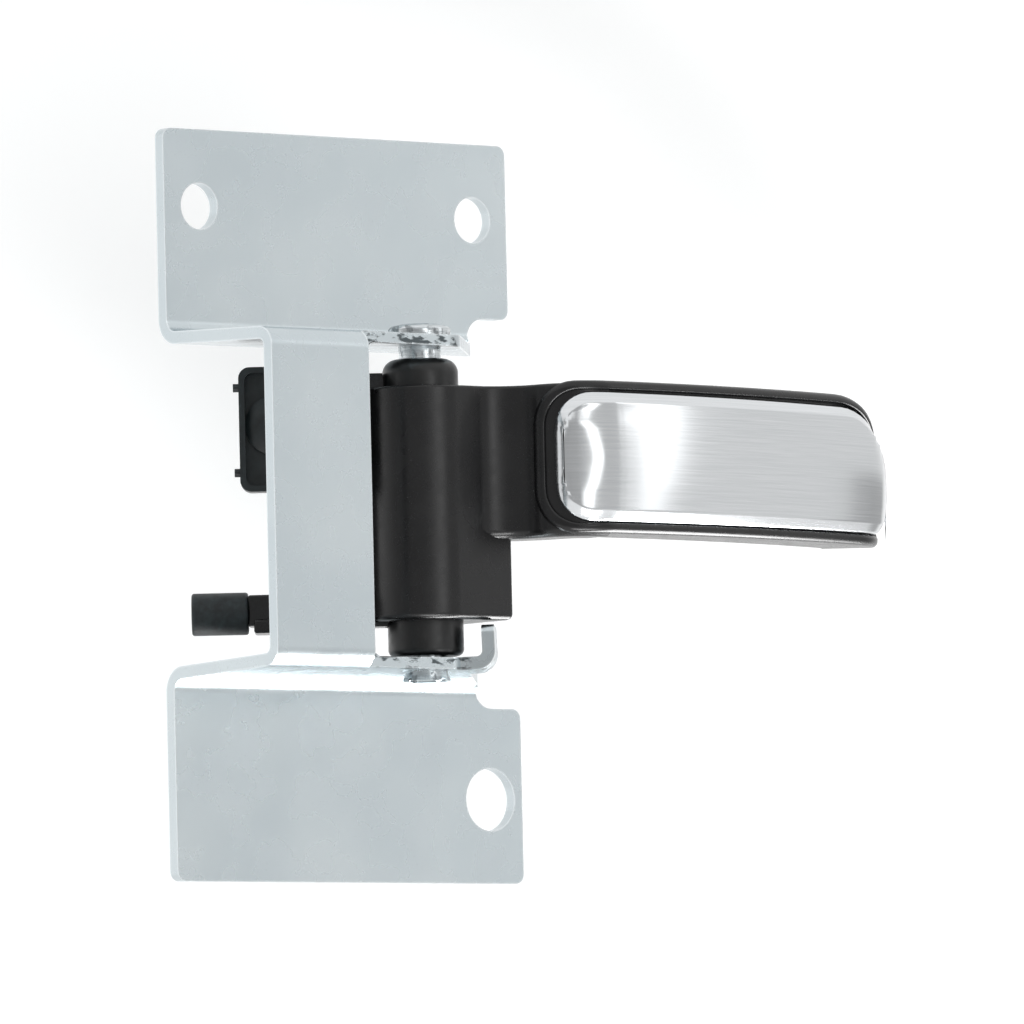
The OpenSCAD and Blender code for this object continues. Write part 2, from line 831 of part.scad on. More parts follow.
module stop_sleeve() {
    bore_length = sleeve_length - sleeve_end;
    color([0.1, 0.12, 0.13])
        translate([0, 0, -mid_drop])
            rear_frame()
                translate([sleeve_start, 0, -sleeve_drop])
                    rotate([0, 90, 0])
                        difference() {
                            rotate_extrude()
                                intersection() {
                                    round_box([-sleeve_d / 2, 0], [sleeve_d / 2, sleeve_length],
                                        sleeve_edge);
                                    square([sleeve_d, sleeve_length]);
                                }
                            translate([0, 0, -over])
                                cylinder(bore_length + over, r = sleeve_peg_d / 2 + sleeve_gap);
                        }
}

bracket();
pivot_pin();
upper_bush();
lower_bush();
lever();
insert();
rod_clip();
stop_sleeve();
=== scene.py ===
import math

import bmesh
import bpy
from mathutils import Matrix, Vector


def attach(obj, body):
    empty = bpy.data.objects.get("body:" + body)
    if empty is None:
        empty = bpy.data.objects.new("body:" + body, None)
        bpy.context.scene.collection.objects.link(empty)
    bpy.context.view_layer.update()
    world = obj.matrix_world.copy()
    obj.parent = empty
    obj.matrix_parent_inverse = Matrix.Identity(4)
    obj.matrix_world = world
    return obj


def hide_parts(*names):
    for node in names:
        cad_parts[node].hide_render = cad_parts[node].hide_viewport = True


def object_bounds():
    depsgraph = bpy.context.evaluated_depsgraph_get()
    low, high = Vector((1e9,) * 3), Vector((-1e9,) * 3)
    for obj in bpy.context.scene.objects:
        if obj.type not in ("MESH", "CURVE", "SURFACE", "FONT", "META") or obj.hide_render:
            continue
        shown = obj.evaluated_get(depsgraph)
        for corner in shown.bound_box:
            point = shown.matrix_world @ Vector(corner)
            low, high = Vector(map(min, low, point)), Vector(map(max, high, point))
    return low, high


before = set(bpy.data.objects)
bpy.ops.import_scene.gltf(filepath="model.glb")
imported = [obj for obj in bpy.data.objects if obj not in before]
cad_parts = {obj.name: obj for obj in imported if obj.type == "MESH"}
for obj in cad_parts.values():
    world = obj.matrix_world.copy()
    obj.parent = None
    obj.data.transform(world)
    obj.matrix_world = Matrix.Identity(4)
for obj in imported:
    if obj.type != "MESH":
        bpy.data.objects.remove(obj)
cadBox = [list(corner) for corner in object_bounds()]
mm = 0.001
print("frame loaded:", sorted(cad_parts))


def hexColor(code):
    # sRGB hex to the linear values that shaders take
    parts = [int(code[i:i + 2], 16) / 255 for i in (1, 3, 5)]
    return tuple(c / 12.92 if c <= 0.04045 else ((c + 0.055) / 1.055) ** 2.4 for c in parts) + (1.0,)


def addNode(tree, kind, settings=None, inputs=None, **links):
    # one node, with its settings, its socket values and what feeds its sockets
    node = tree.nodes.new(kind)
    for name, value in (settings or {}).items():
        setattr(node, name, value)
    for name, value in (inputs or {}).items():
        node.inputs[name].default_value = value
    for name, source in links.items():
        tree.links.new(source, node.inputs[name.replace("_", " ")])
    return node


# camera: fitted to the plates' corners, holes and bends in the photograph
cameraSetup = {
    "azimuth": 39.94,  # degrees to the left of straight on
    "elevation": -3.80,  # a little below the part
    "roll": 1.306,
    "distance": 1792.3 * mm,
    "aim": Vector((0.7, -13.0, -42.5)) * mm,  # this point lands on the pixel below
    "aimPixel": (397.177, 506.167),
    "pixelsPerMm": 7.071,
    "imageSize": 1024,
    "sensor": 36.0,
}


def makeCamera(c):
    az, el, roll = (math.radians(c[k]) for k in ("azimuth", "elevation", "roll"))
    back = Vector((-math.sin(az) * math.cos(el), -math.cos(az) * math.cos(el), math.sin(el)))
    right = Vector((math.cos(az), -math.sin(az), 0.0))
    up = back.cross(right)
    camX = math.cos(roll) * right - math.sin(roll) * up
    camY = math.sin(roll) * right + math.cos(roll) * up
    half = c["imageSize"] / 2
    offX = (c["aimPixel"][0] - half) / c["pixelsPerMm"] * mm
    offY = -(c["aimPixel"][1] - half) / c["pixelsPerMm"] * mm
    place = c["aim"] + c["distance"] * back - offX * camX - offY * camY
    data = bpy.data.cameras.new("photoCamera")
    data.sensor_width = c["sensor"]
    data.lens = c["sensor"] * c["distance"] / mm * c["pixelsPerMm"] / c["imageSize"]
    data.clip_start, data.clip_end = 0.1, 20.0
    cam = bpy.data.objects.new("photoCamera", data)
    bpy.context.scene.collection.objects.link(cam)
    turn = Matrix((camX, camY, back)).transposed().to_4x4()
    cam.matrix_world = Matrix.Translation(place) @ turn
    bpy.context.scene.camera = cam
    return back


towardCamera = makeCamera(cameraSetup)
print("camera ready")

scene = bpy.context.scene
scene.view_settings.view_transform = "Standard"

# world: matt surfaces get one even level; mirrored surfaces see a white tent with the studio's darker and
# lighter panels, set by degrees round the part (0 is straight on, minus is to the camera's side)
tentSetup = {
    "ambient": 0.66,  # level that lights matt surfaces
    "levels": [(-180, 1.2), (-128, 1.15), (-100, 0.5), (-60, 0.46), (-34, 0.50), (-16, 0.68), (20, 0.66),
               (40, 0.68), (52, 0.85), (90, 0.86), (120, 1.1), (180, 1.2)],
    "level": 3.8,  # height at which the paddle's middle mirrors the tent
    "strip": (42.2, 45.6, 2.2),  # narrow bright window to the right: start, end and level
    "stripEdges": (0.8, 3.0),  # degrees over which its near and far edges fade
    "stripLean": 0.22,  # degrees that the window's end leans per degree of height
    "chevron": (3.0, 9.0, 1.9, 2.2),  # corner light: middle, half width, fall per degree of height, level
    "chevronEdge": 1.5,
    "chevronReach": (12.0, 15.0),  # heights between which it fades out
    "flag": (71.0, 112.0, 4.0, 0.50),  # dark card low on the right: start, end, top and level
    "flagEdges": (1.5, 8.0, 1.0),
    "glint": (54.0, 114.0, -35.0, 18.0),  # lamp low on the right that draws the lines on lower edges
    "glintEdges": (6.0, 6.0, 3.0),
    "caps": (17.0, 30.0, 1.05),  # top and floor of the tent: start, full and level
}


def mathNode(tree, operation, *values):
    node = tree.nodes.new("ShaderNodeMath")
    node.operation = operation
    for socket, value in zip(node.inputs, values):
        if isinstance(value, (int, float)):
            socket.default_value = value
        else:
            tree.links.new(value, socket)
    return node.outputs[0]


def rampNode(tree, value, low, high, start=0.0, end=1.0):
    # smooth step from start to end while the value goes from low to high
    node = addNode(tree, "ShaderNodeMapRange", {"interpolation_type": "SMOOTHSTEP"}, Value=value)
    for name, number in (("From Min", low), ("From Max", high), ("To Min", start), ("To Max", end)):
        node.inputs[name].default_value = number
    return node.outputs["Result"]


def between(tree, value, start, end, rise, fall):
    # 1 from start to end, with soft edges inside them
    up = rampNode(tree, value, start, start + rise)
    return mathNode(tree, "MULTIPLY", up, rampNode(tree, value, end - fall, end, 1.0, 0.0))


def blendTo(tree, value, level, share):
    # value moved towards a level by a share
    node = addNode(tree, "ShaderNodeMix", {"data_type": "FLOAT"})
    for socket, source in zip((node.inputs[0], node.inputs[2], node.inputs[3]), (share, value, level)):
        if isinstance(source, (int, float)):
            socket.default_value = source
        else:
            tree.links.new(source, socket)
    return node.outputs[0]


def lowPanel(tree, light, around, height, panel, edges):
    # a panel below a height, between two directions
    start, end, top, level = panel
    share = between(tree, around, start, end, edges[0], edges[1])
    share = mathNode(tree, "MULTIPLY", share, rampNode(tree, height, top - edges[2], top, 1.0, 0.0))
    return blendTo(tree, light, level, share)


def makeTent(t):
    world = bpy.data.worlds.new("lightTent")
    world.use_nodes = True
    tree = world.node_tree
    tree.nodes.clear()
    coords = addNode(tree, "ShaderNodeTexCoord")
    way = addNode(tree, "ShaderNodeSeparateXYZ", Vector=coords.outputs["Generated"]).outputs
    degree = 180 / math.pi
    turned = mathNode(tree, "ARCTAN2", way["X"], mathNode(tree, "MULTIPLY", way["Y"], -1.0))
    around = mathNode(tree, "MULTIPLY", turned, degree)
    height = mathNode(tree, "MULTIPLY", mathNode(tree, "ARCSINE", way["Z"]), degree)
    fromLevel = mathNode(tree, "SUBTRACT", height, t["level"])
    offLevel = mathNode(tree, "ABSOLUTE", fromLevel)
    share = mathNode(tree, "DIVIDE", mathNode(tree, "ADD", around, 180.0), 360.0)
    ramp = addNode(tree, "ShaderNodeValToRGB", Fac=share)
    stops = ramp.color_ramp.elements
    while len(stops) < len(t["levels"]):
        stops.new(0.5)
    for stop, (place, level) in zip(stops, t["levels"]):
        stop.position, stop.color = (place + 180) / 360, (level,) * 3 + (1.0,)
    light = ramp.outputs["Color"]
    start, end, level = t["strip"]
    rise, fall = t["stripEdges"]
    leaning = mathNode(tree, "SUBTRACT", around, mathNode(tree, "MULTIPLY", fromLevel, t["stripLean"]))
    share = mathNode(tree, "MULTIPLY", rampNode(tree, around, start, start + rise),
                     rampNode(tree, leaning, end, end + fall, 1.0, 0.0))
    light = blendTo(tree, light, level, share)
    middle, half, drop, level = t["chevron"]
    edge = t["chevronEdge"]
    bent = mathNode(tree, "ADD", around, mathNode(tree, "MULTIPLY", offLevel, drop))
    offset = mathNode(tree, "ABSOLUTE", mathNode(tree, "SUBTRACT", bent, middle))
    share = mathNode(tree, "MULTIPLY", rampNode(tree, offset, half - edge, half + edge, 1.0, 0.0),
                     rampNode(tree, offLevel, *t["chevronReach"], 1.0, 0.0))
    light = blendTo(tree, light, level, share)
    light = lowPanel(tree, light, around, height, t["flag"], t["flagEdges"])
    start, full, level = t["caps"]
    light = blendTo(tree, light, level, rampNode(tree, mathNode(tree, "ABSOLUTE", height), start, full))
    light = lowPanel(tree, light, around, height, t["glint"], t["glintEdges"])
    path = addNode(tree, "ShaderNodeLightPath").outputs
    mirrored = addNode(tree, "ShaderNodeBackground", Color=light)
    ambient = addNode(tree, "ShaderNodeBackground", inputs={"Color": (t["ambient"],) * 3 + (1.0,)})
    plain = addNode(tree, "ShaderNodeBackground", inputs={"Color": (1.0, 1.0, 1.0, 1.0)})
    glossy = mathNode(tree, "MAXIMUM", path["Is Glossy Ray"], path["Is Transmission Ray"])
    mix = mixShader(tree, glossy, ambient, mirrored)
    mix = mixShader(tree, path["Is Camera Ray"], mix, plain)
    out = addNode(tree, "ShaderNodeOutputWorld")
    tree.links.new(mix.outputs[0], out.inputs["Surface"])
    scene.world = world


def mixShader(tree, share, first, second):
    node = addNode(tree, "ShaderNodeMixShader", Fac=share)
    tree.links.new(first.outputs[0], node.inputs[1])
    tree.links.new(second.outputs[0], node.inputs[2])
    return node


makeTent(tentSetup)

# lamps: soft boxes high on the left, on the right and behind, and a long one below for the undersides; that
# one alone is mirrored too
lampCentre = Vector((25.0, -15.0, -42.5)) * mm
lampSetup = {
    "key": {"way": (-0.35, -0.75, 0.75), "reach": 0.9, "size": (0.7, 0.7), "power": 2.6, "glint": False},
    "side": {"way": (0.85, -0.6, 0.25), "reach": 0.9, "size": (0.6, 0.6), "power": 1.2, "glint": False},
    "rear": {"way": (0.2, 0.9, 0.5), "reach": 0.9, "size": (0.8, 0.8), "power": 2.0, "glint": False},
    "below": {"way": (-0.25, -0.75, -0.95), "reach": 0.7, "size": (0.6, 0.12), "power": 2.6, "glint": True},
}


def makeLamps(lamps):
    for name, lamp in lamps.items():
        data = bpy.data.lights.new(name + "Lamp", "AREA")
        data.shape = "ELLIPSE"
        data.size, data.size_y = lamp["size"]
        data.energy = lamp["power"]
        light = bpy.data.objects.new(name + "Lamp", data)
        scene.collection.objects.link(light)
        light.visible_glossy = lamp["glint"]
        way = Vector(lamp["way"]).normalized()
        light.location = lampCentre + way * lamp["reach"]
        light.rotation_mode = "QUATERNION"
        light.rotation_quaternion = way.to_track_quat("Z", "Y")


makeLamps(lampSetup)

# floor: the white table that the part lies before, square to the camera; seen from behind it is clear
floorSetup = {
    "gap": 5 * mm,  # behind the part's farthest corner
    "size": 3.0, "color": "#f4f5f5",
    "lift": 0.16,  # faint glow of its own, so that it reads white round the shadow
}


def boxCorners():
    lo, hi = cadBox
    return [(x, y, z) for x in (lo[0], hi[0]) for y in (lo[1], hi[1]) for z in (lo[2], hi[2])]


def makeFloor(f):
    farthest = min((Vector(c) - cameraSetup["aim"]).dot(towardCamera) for c in boxCorners())
    place = cameraSetup["aim"] + towardCamera * (farthest - f["gap"])
    bpy.ops.mesh.primitive_plane_add(size=f["size"])
    floor = bpy.context.active_object
    floor.name = "whiteTable"
    turn = towardCamera.to_track_quat("Z", "Y").to_matrix().to_4x4()
    floor.matrix_world = Matrix.Translation(place) @ turn
    mat = bpy.data.materials.new("whitePaperTable")
    mat.use_nodes = True
    tree = mat.node_tree
    tree.nodes.clear()
    paper = addNode(tree, "ShaderNodeBsdfDiffuse", inputs={"Color": hexColor(f["color"])})
    glow = addNode(tree, "ShaderNodeEmission", inputs={"Strength": f["lift"]})
    sheet = addNode(tree, "ShaderNodeAddShader")
    tree.links.new(paper.outputs[0], sheet.inputs[0])
    tree.links.new(glow.outputs[0], sheet.inputs[1])
    clear = addNode(tree, "ShaderNodeBsdfTransparent")
    side = addNode(tree, "ShaderNodeNewGeometry")
    mix = mixShader(tree, side.outputs["Backfacing"], sheet, clear)
    out = addNode(tree, "ShaderNodeOutputMaterial")
    tree.links.new(mix.outputs[0], out.inputs["Surface"])
    floor.data.materials.append(mat)
    floor.visible_glossy = False  # metal mirrors the tent, not the near table


makeFloor(floorSetup)
print("tent, lamps and table ready")


def startMaterial(name):
    mat = bpy.data.materials.new(name)
    mat.use_nodes = True
    tree = mat.node_tree
    shader = tree.nodes["Principled BSDF"]
    coords = addNode(tree, "ShaderNodeTexCoord")
    return mat, tree, shader, coords.outputs["Object"]


def bumpFrom(tree, shader, height, strength, depth):
    bump = addNode(tree, "ShaderNodeBump", inputs={"Strength": strength, "Distance": depth}, Height=height)
    tree.links.new(bump.outputs["Normal"], shader.inputs["Normal"])
    return bump


def noiseNode(tree, place, size, detail=2.0, stretch=None, rough=0.5):
    # noise with features of about so many millimetres; stretch drags it along an axis
    if stretch:
        mapping = addNode(tree, "ShaderNodeMapping", inputs={"Scale": stretch}, Vector=place)
        place = mapping.outputs["Vector"]
    inputs = {"Scale": 1 / (size * mm), "Detail": detail, "Roughness": rough}
    return addNode(tree, "ShaderNodeTexNoise", inputs=inputs, Vector=place).outputs["Fac"]


def colorRamp(tree, value, stops):
    node = addNode(tree, "ShaderNodeValToRGB", Fac=value)
    elements = node.color_ramp.elements
    while len(elements) < len(stops):
        elements.new(0.5)
    for element, (place, code) in zip(elements, stops):
        element.position, element.color = place, hexColor(code)
    return node.outputs["Color"]


def mixColor(tree, share, first, second, blend="MIX"):
    node = addNode(tree, "ShaderNodeMix", {"data_type": "RGBA", "blend_type": blend})
    for socket, source in zip((node.inputs[0], node.inputs[6], node.inputs[7]), (share, first, second)):
        if isinstance(source, bpy.types.NodeSocket):
            tree.links.new(source, socket)
        else:
            socket.default_value = source
    return node.outputs[2]


def setInputs(tree, shader, **values):
    for name, value in values.items():
        socket = shader.inputs[name.replace("_", " ")]
        if isinstance(value, bpy.types.NodeSocket):
            tree.links.new(value, socket)
        else:
            socket.default_value = value


# the mask also carries the sheet's painted edge highlight, besides its smoother edges
def edgeHighlightAndPolishMask(tree, radius, low, high):
    # 1 on sharp edges and fine rounds: where a softened normal leaves the true one
    soft = addNode(tree, "ShaderNodeBevel", {"samples": 6}, {"Radius": radius * mm}).outputs["Normal"]
    true = addNode(tree, "ShaderNodeNewGeometry").outputs["Normal"]
    dot = addNode(tree, "ShaderNodeVectorMath", {"operation": "DOT_PRODUCT"})
    tree.links.new(soft, dot.inputs[0])
    tree.links.new(true, dot.inputs[1])
    return rampNode(tree, dot.outputs["Value"], low, high, 1.0, 0.0)


def boxMask(tree, place, low, high, soft=0.2):
    # 1 inside a box given in millimetres
    parts = addNode(tree, "ShaderNodeSeparateXYZ", Vector=place).outputs
    mask = 1.0
    for axis, start, end in zip("XYZ", low, high):
        up = rampNode(tree, parts[axis], (start - soft) * mm, (start + soft) * mm)
        down = rampNode(tree, parts[axis], (end - soft) * mm, (end + soft) * mm, 1.0, 0.0)
        mask = mathNode(tree, "MULTIPLY", mathNode(tree, "MULTIPLY", mask, up), down)
    return mask


# where the shears tore the sheet: the ears' front edges and the stop tab's edge
tornEdges = [((-13.6, -24.4, -20.9), (9.0, -22.9, -17.0)), ((-13.6, -24.4, -68.0), (9.0, -22.9, -64.1)),
             ((9.6, -22.3, -66.6), (13.6, -19.4, -60.0))]


# cold rolled steel sheet, zinc plated: an even, cool satin grey with a faint cloudy bloom from the bath and
# fine rolled grain; its edges and fine rounds are smoother and get a painted highlight that lightens their
# colour, with dull patches where the shears tore them
def makeZincPlatedSheet():
    mat, tree, shader, place = startMaterial("zincPlatedSheet")
    tone = colorRamp(tree, noiseNode(tree, place, 22.0, 3.0), [(0.35, "#c3ccd0"), (0.65, "#cbd3d6")])
    speck = noiseNode(tree, place, 0.35, 1.0)
    tone = mixColor(tree, rampNode(tree, speck, 0.66, 0.74, 0.0, 0.25), tone, hexColor("#aeb6b9"))
    torn = 0.0
    for low, high in tornEdges:
        torn = mathNode(tree, "MAXIMUM", torn, boxMask(tree, place, low, high))
    patches = rampNode(tree, noiseNode(tree, place, 1.6, 3.0, (0.6, 0.6, 1.4), 0.6), 0.50, 0.60)
    torn = mathNode(tree, "MULTIPLY", torn, patches)
    tone = mixColor(tree, torn, tone, hexColor("#596063"))
    edge = edgeHighlightAndPolishMask(tree, 0.45, 0.90, 0.995)
    # painted highlight: the colour of edges and fine rounds is lightened towards a near-white grey
    tone = mixColor(tree, mathNode(tree, "MULTIPLY", edge, 0.6), tone, hexColor("#e9eef0"))
    grain = noiseNode(tree, place, 0.3, 2.0, (0.25, 1.0, 1.0))
    rough = rampNode(tree, noiseNode(tree, place, 5.0, 3.0), 0.35, 0.7, 0.24, 0.31)
    rough = mathNode(tree, "SUBTRACT", rough, mathNode(tree, "MULTIPLY", edge, 0.1))
    setInputs(tree, shader, Base_Color=tone, Metallic=1.0, Roughness=rough)
    rugged = mathNode(tree, "ADD", grain, mathNode(tree, "MULTIPLY", torn, 6.0))
    bumpFrom(tree, shader, rugged, 0.12, 0.012 * mm)
    return mat


# turned steel pin, zinc plated: fine rings from the lathe, and dull marks where tools held and staked it
def makeZincPlatedPin():
    mat, tree, shader, place = startMaterial("zincPlatedPin")
    rings = noiseNode(tree, place, 0.5, 2.0, (0.2, 0.2, 3.0))
    tone = colorRamp(tree, rings, [(0.3, "#b4babd"), (0.7, "#dbe0e2")])
    marks = rampNode(tree, noiseNode(tree, place, 1.1, 3.0, (1.0, 1.0, 0.6)), 0.50, 0.62, 0.0, 0.7)
    tone = mixColor(tree, marks, tone, hexColor("#6b7174"))
    rough = rampNode(tree, noiseNode(tree, place, 1.2, 3.0), 0.3, 0.7, 0.10, 0.26)
    setInputs(tree, shader, Base_Color=tone, Metallic=1.0, Roughness=rough)
    bumpFrom(tree, shader, mathNode(tree, "ADD", rings, marks), 0.3, 0.03 * mm)
    return mat


# black powder coat on die cast aluminium: deep satin black with a fine orange peel and a little dust
def makeBlackPowderCoat():
    mat, tree, shader, place = startMaterial("blackPowderCoat")
    tone = colorRamp(tree, noiseNode(tree, place, 6.0, 3.0), [(0.3, "#0c0c0d"), (0.7, "#121213")])
    dust = rampNode(tree, noiseNode(tree, place, 0.22, 1.0), 0.70, 0.78, 0.0, 0.35)
    tone = mixColor(tree, dust, tone, hexColor("#29292b"))
    rough = rampNode(tree, noiseNode(tree, place, 2.5, 2.0), 0.3, 0.7, 0.24, 0.31)
    setInputs(tree, shader, Base_Color=tone, Roughness=rough, Specular_IOR_Level=0.45)
    peel = mathNode(tree, "ADD", noiseNode(tree, place, 0.55, 2.0),
                    mathNode(tree, "MULTIPLY", noiseNode(tree, place, 0.12, 1.0), 0.35))
    bumpFrom(tree, shader, peel, 0.22, 0.02 * mm)
    return mat


# nylon bush, injection moulded: black and a little waxy, with faint flow marks
def makeBlackNylon():
    mat, tree, shader, place = startMaterial("blackNylon")
    tone = colorRamp(tree, noiseNode(tree, place, 2.5, 3.0), [(0.3, "#0a0b0b"), (0.7, "#101112")])
    rough = rampNode(tree, noiseNode(tree, place, 1.2, 2.0), 0.3, 0.7, 0.28, 0.40)
    setInputs(tree, shader, Base_Color=tone, Roughness=rough)
    bumpFrom(tree, shader, noiseNode(tree, place, 0.8, 2.0, (1.0, 1.0, 2.0)), 0.12, 0.02 * mm)
    return mat


# acetal clip: injection moulded, which leaves it dark and slightly clouded, with a cold green cast
def makeDarkAcetal():
    mat, tree, shader, place = startMaterial("darkAcetal")
    tone = colorRamp(tree, noiseNode(tree, place, 1.5, 3.0), [(0.3, "#141b1d"), (0.7, "#20292b")])
    rough = rampNode(tree, noiseNode(tree, place, 0.8, 2.0), 0.3, 0.7, 0.30, 0.45)
    setInputs(tree, shader, Base_Color=tone, Roughness=rough)
    bumpFrom(tree, shader, noiseNode(tree, place, 0.7, 2.0), 0.15, 0.02 * mm)
    return mat


# rubber sleeve, moulded in one: matt black with a cold, dusty bloom
def makeMouldedRubber():
    mat, tree, shader, place = startMaterial("mouldedRubber")
    tone = colorRamp(tree, noiseNode(tree, place, 0.9, 4.0), [(0.35, "#12191b"), (0.7, "#232d30")])
    setInputs(tree, shader, Base_Color=tone, Roughness=0.55)
    bumpFrom(tree, shader, noiseNode(tree, place, 0.5, 3.0), 0.3, 0.03 * mm)
    return mat


# rolled aluminium trim: brushed along its length, in fine light and dark lines
def makeBrushedTrim():
    mat, tree, shader, place = startMaterial("brushedTrim")
    lines = noiseNode(tree, place, 14.0, 4.0, (1.0, 1.0, 90.0), 0.6)
    fine = noiseNode(tree, place, 7.0, 3.0, (1.0, 1.0, 190.0), 0.6)
    both = mathNode(tree, "MULTIPLY", mathNode(tree, "ADD", lines, fine), 0.5)
    tone = colorRamp(tree, both, [(0.36, "#d0d3d5"), (0.64, "#dddfe1")])
    rough = rampNode(tree, both, 0.35, 0.65, 0.12, 0.155)
    setInputs(tree, shader, Base_Color=tone, Metallic=1.0, Roughness=rough)
    bumpFrom(tree, shader, both, 0.035, 0.02 * mm)
    return mat


finishes = {
    "bracket": makeZincPlatedSheet(),
    "pivot_pin": makeZincPlatedPin(),
    "lever": makeBlackPowderCoat(),
    "upper_bush": makeBlackNylon(),
    "rod_clip": makeDarkAcetal(),
    "stop_sleeve": makeMouldedRubber(),
    "insert": makeBrushedTrim(),
}
finishes["lower_bush"] = finishes["upper_bush"]
for nodeName, finish in finishes.items():
    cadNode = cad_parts[nodeName]
    for materialSlot in cadNode.material_slots:
        materialSlot.material = finish
print("materials on the CAD nodes")


def clearSelection():
    if bpy.context.object and bpy.context.object.mode != "OBJECT":
        bpy.ops.object.mode_set(mode="OBJECT")
    bpy.ops.object.select_all(action="DESELECT")


def activate(piece):
    clearSelection()
    piece.select_set(True)
    bpy.context.view_layer.objects.active = piece


def block(name, low, high):
    # a cube primitive between two corners, in millimetres
    clearSelection()
    low, high = Vector(low) * mm, Vector(high) * mm
    bpy.ops.mesh.primitive_cube_add(size=1, location=(low + high) / 2, scale=high - low)
    bpy.ops.object.transform_apply()
    piece = bpy.context.active_object
    piece.name = name
    return piece


def rod(name, start, end, radius, sides=72, endRadius=None):
    # a cylinder or cone primitive from one point to another, in millimetres
    clearSelection()
    start, end = Vector(start) * mm, Vector(end) * mm
    turn = (end - start).to_track_quat("Z", "Y").to_euler()
    bpy.ops.mesh.primitive_cone_add(vertices=sides, radius1=radius * mm,
                                    radius2=(radius if endRadius is None else endRadius) * mm,
                                    depth=(end - start).length, location=(start + end) / 2, rotation=turn)
    bpy.ops.object.transform_apply()
    piece = bpy.context.active_object
    piece.name = name
    return piece


def pick(piece, kind, test):
    # edit mode, with what passes the test selected; it is given the middle and the item, in millimetres
    activate(piece)
    bpy.ops.object.mode_set(mode="EDIT")
    bpy.ops.mesh.select_mode(type=kind)
    bpy.ops.mesh.select_all(action="DESELECT")
    mesh = bmesh.from_edit_mesh(piece.data)
    found = 0
    for item in {"VERT": mesh.verts, "EDGE": mesh.edges, "FACE": mesh.faces}[kind]:
        corners = [item.co] if kind == "VERT" else [v.co for v in item.verts]
        middle = sum(corners, Vector()) / len(corners) / mm
        if test(middle, item):
            item.select_set(True)
            found += 1
    mesh.select_flush_mode()
    bmesh.update_edit_mesh(piece.data)
    return found


def alongAxis(edge, axis):
    way = (edge.verts[1].co - edge.verts[0].co).normalized()
    return abs(way[axis]) > 0.999


def near(value, target, room=0.02):
    return abs(value - target) < room


def roundEdges(piece, test, radius, segments):
    if not pick(piece, "EDGE", test):
        print("no edges to round on", piece.name)
    bpy.ops.mesh.bevel(offset=radius * mm, offset_type="OFFSET", segments=segments, affect="EDGES")
    bpy.ops.object.mode_set(mode="OBJECT")


def useModifier(piece, kind, **settings):
    activate(piece)
    modifier = piece.modifiers.new(kind.lower(), kind)
    for name, value in settings.items():
        setattr(modifier, name, value)
    bpy.ops.object.modifier_apply(modifier=modifier.name)


def combine(piece, other, operation):
    useModifier(piece, "BOOLEAN", operation=operation, object=other, solver="EXACT")
    bpy.data.objects.remove(other)


def cut(piece, cutter):
    combine(piece, cutter, "DIFFERENCE")


def join(piece, other):
    combine(piece, other, "UNION")


def sliceAlong(piece, axis, places):
    # straight cuts across the piece, so that it bends or bulges smoothly
    pick(piece, "FACE", lambda middle, face: False)
    normal = [0, 0, 0]
    normal[axis] = 1
    for place in places:
        bpy.ops.mesh.select_all(action="SELECT")
        bpy.ops.mesh.bisect(plane_co=[n * place * mm for n in normal], plane_no=normal)
    bpy.ops.object.mode_set(mode="OBJECT")


def finishPiece(piece, body, material, replaced, angle=32):
    pick(piece, "VERT", lambda middle, vert: True)
    bpy.ops.mesh.remove_doubles(threshold=0.002 * mm)
    bpy.ops.mesh.normals_make_consistent(inside=False)
    bpy.ops.object.mode_set(mode="OBJECT")
    activate(piece)
    bpy.ops.object.shade_smooth_by_angle(angle=math.radians(angle))
    useModifier(piece, "WEIGHTED_NORMAL", keep_sharp=True)  # flat faces stay even beside their rounds
    piece.data.materials.clear()
    piece.data.materials.append(material)
    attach(piece, body)
    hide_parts(*replaced)
    print("made", piece.name, "with", len(piece.data.polygons), "faces")


def bulge(piece, low, high, stations):
    # a lattice cage over a flat piece; each station along it moves its lower and upper side by so many mm
    low, high = Vector(low) * mm, Vector(high) * mm
    cage = bpy.data.lattices.new("cage")
    cage.points_u, cage.points_v, cage.points_w = len(stations), 2, 2
    cage.interpolation_type_u = "KEY_CATMULL_ROM"
    cage.interpolation_type_v = cage.interpolation_type_w = "KEY_LINEAR"
    holder = bpy.data.objects.new("cage", cage)
    scene.collection.objects.link(holder)
    holder.location, holder.scale = (low + high) / 2, high - low
    for index, point in enumerate(cage.points):
        lower, upper = stations[index % len(stations)]
        point.co_deform.z += (upper if point.co.z > 0 else lower) * mm / holder.scale.z
    bpy.context.view_layer.update()
    useModifier(piece, "LATTICE", object=holder)
    bpy.data.objects.remove(holder)


# the lever's plan: moves of [radius, turn in degrees] or [length, 0] along the front of arm and paddle
midHeight = -42.5  # middle of the bracket's hat below the upper holes
pinPlace = Vector((1.4, -17.9, 0.0))
leverPlan = {
    "start": Vector((1.4, -25.9, 0.0)),
    "moves": [(4.0, 0.0), (6.0, -81.5), (8.08, 81.5), (0.41, 0.0), (185.0, 16.6), (14.45, 68.4), (6.0, 0.0)],
}


